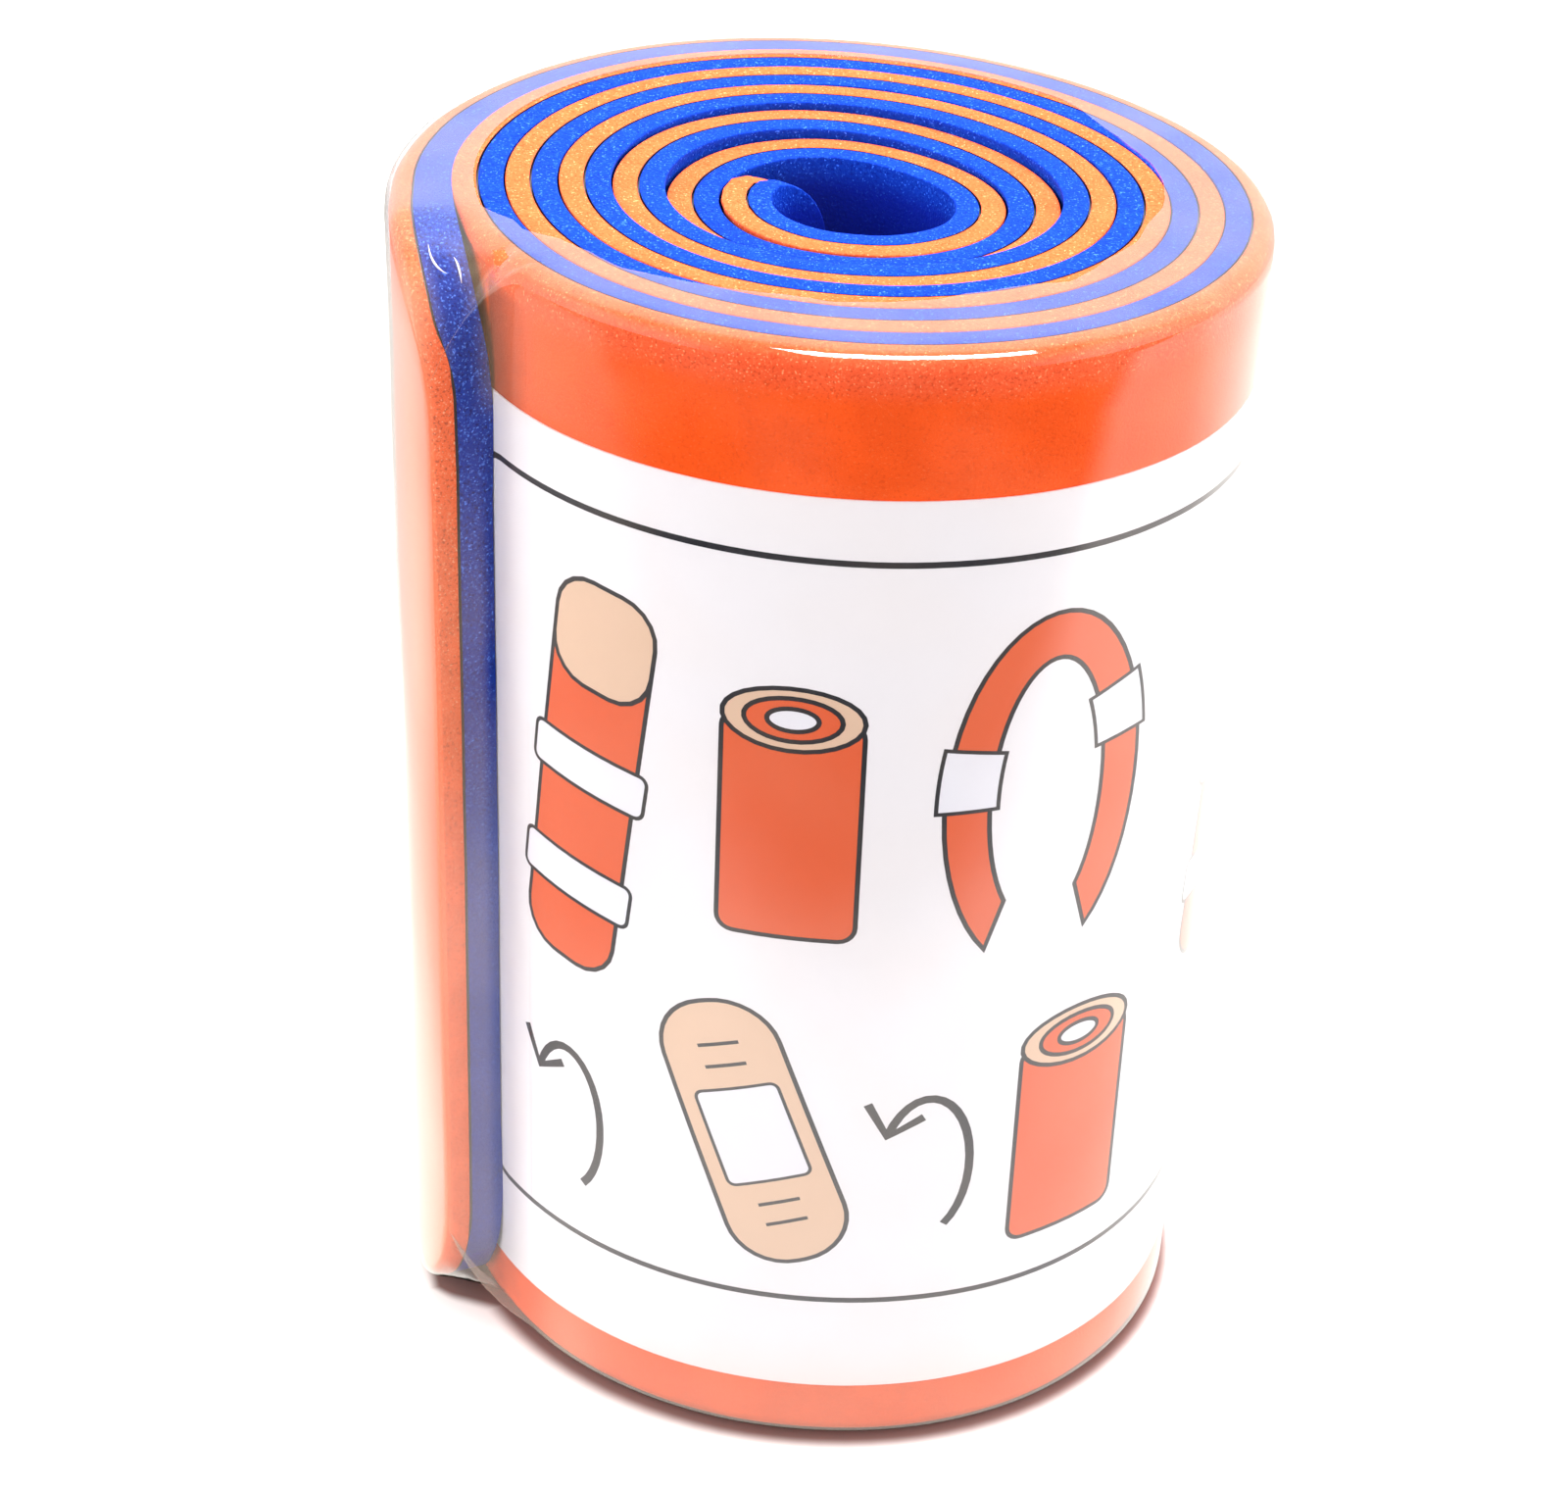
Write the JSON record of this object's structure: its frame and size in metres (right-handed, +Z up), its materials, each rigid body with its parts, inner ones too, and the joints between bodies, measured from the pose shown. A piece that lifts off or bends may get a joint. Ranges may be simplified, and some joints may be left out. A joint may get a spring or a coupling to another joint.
{
  "type": "rolled aluminium foam splint",
  "caption": "Rolled splint strip of blue and orange foam on a thin aluminium core, in clear wrap with a picture label, standing on one end.",
  "frame": {"origin": "middle of the footprint on the surface that the roll stands on", "axes": "+Z up along the roll's hollow; -Y faces the viewer of the label's first panel, and +X is to the viewer's right"},
  "size_m": [0.0732, 0.0676, 0.1084],
  "materials": {
    "blue_foam": "closed-cell foam, fine sparkling grain",
    "core_sheet": "thin soft sheet, dull cut edge",
    "orange_foam": "closed-cell foam, fine grain",
    "label_paper": "smooth printed paper",
    "clear_film": "glossy clear shrink film, slightly milky"
  },
  "bodies": {
    "root": {"blue_foam": "blue_foam", "aluminium_core": "core_sheet", "orange_foam": "orange_foam", "printed_label": "label_paper", "clear_film": "clear_film"}
  },
  "joints": []
}
